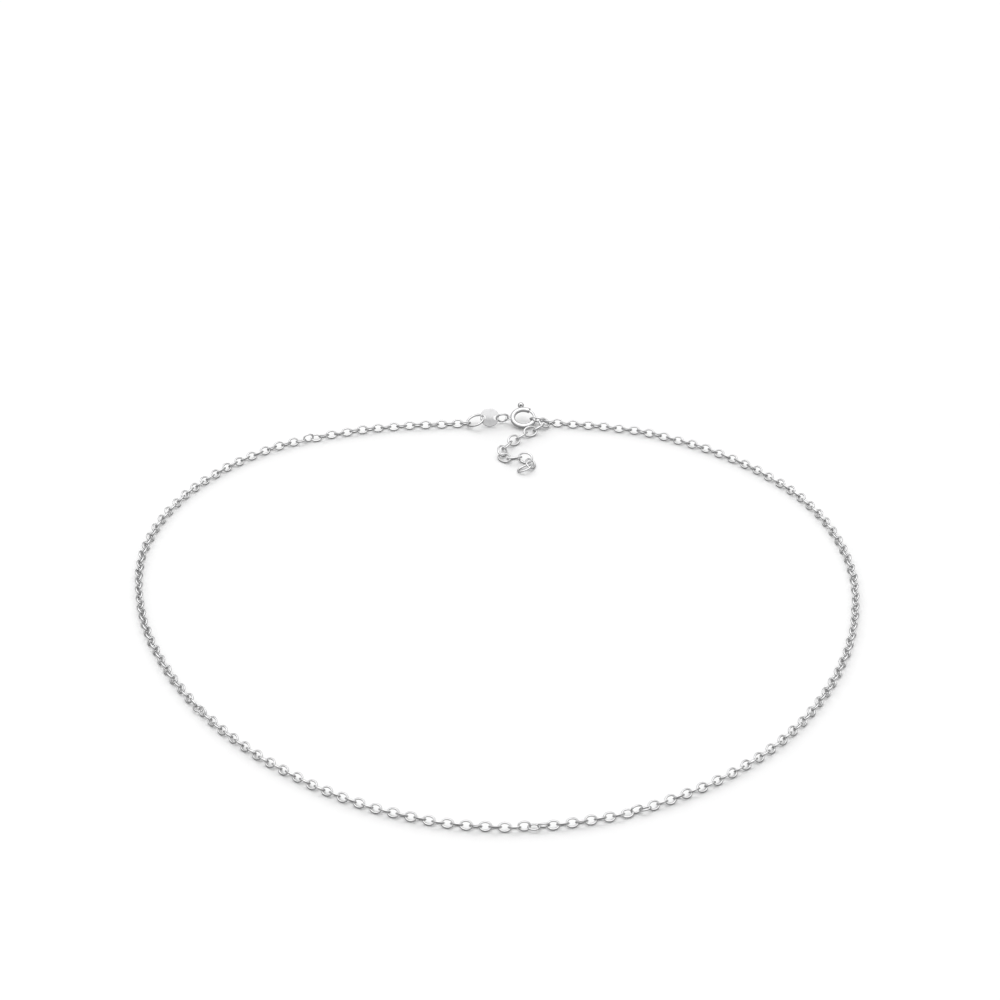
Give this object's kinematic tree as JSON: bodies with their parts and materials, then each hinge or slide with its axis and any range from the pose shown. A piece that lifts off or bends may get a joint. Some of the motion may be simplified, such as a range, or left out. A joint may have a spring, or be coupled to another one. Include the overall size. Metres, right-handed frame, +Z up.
{
  "type": "anchor chain choker necklace",
  "caption": "Fine silver anchor chain choker lying closed in a loop, with a spring ring clasp, a bare round tag and an extension chain.",
  "frame": {"origin": "on the surface that the necklace lies on, under the middle of its outline", "axes": "+Z up from the surface, +Y towards the clasp at the back, +X to the right of someone facing the clasp from the front of the necklace"},
  "size_m": [0.1184, 0.1182, 0.0029],
  "materials": {
    "chain_silver": "bright polished sterling silver wire",
    "ring_silver": "polished sterling silver wire",
    "tag_silver": "polished sterling silver sheet, bare",
    "clasp_silver": "polished sterling silver tube"
  },
  "bodies": {
    "necklace": {"chain": "chain_silver", "left_end_link_1": "chain_silver", "left_end_link_2": "chain_silver", "left_end_link_3": "chain_silver", "right_end_link_1": "chain_silver", "right_end_link_2": "chain_silver", "right_end_link_3": "chain_silver", "left_jump_ring": "ring_silver", "clasp_ring": "ring_silver", "end_ring": "ring_silver", "tag": "tag_silver", "spring_ring_body": "clasp_silver", "extension_link_01": "chain_silver", "extension_link_02": "chain_silver", "extension_link_03": "chain_silver", "extension_link_04": "chain_silver", "extension_link_05": "chain_silver", "extension_link_06": "chain_silver", "extension_link_07": "chain_silver", "extension_link_08": "chain_silver", "extension_link_09": "chain_silver", "extension_link_10": "chain_silver", "extension_link_11": "chain_silver", "extension_link_12": "chain_silver"},
    "bolt": {"spring_ring_bolt": "clasp_silver"}
  },
  "joints": [
    {"name": "clasp_bolt", "type": "hinge", "parent": "necklace", "child": "bolt", "pos_m": [0.00491, 0.05582, 0.00114], "axis": [0, -0.309, 0.9511], "range_deg": [0, 55], "stiffness_Nm_per_rad": 0.001}
  ]
}
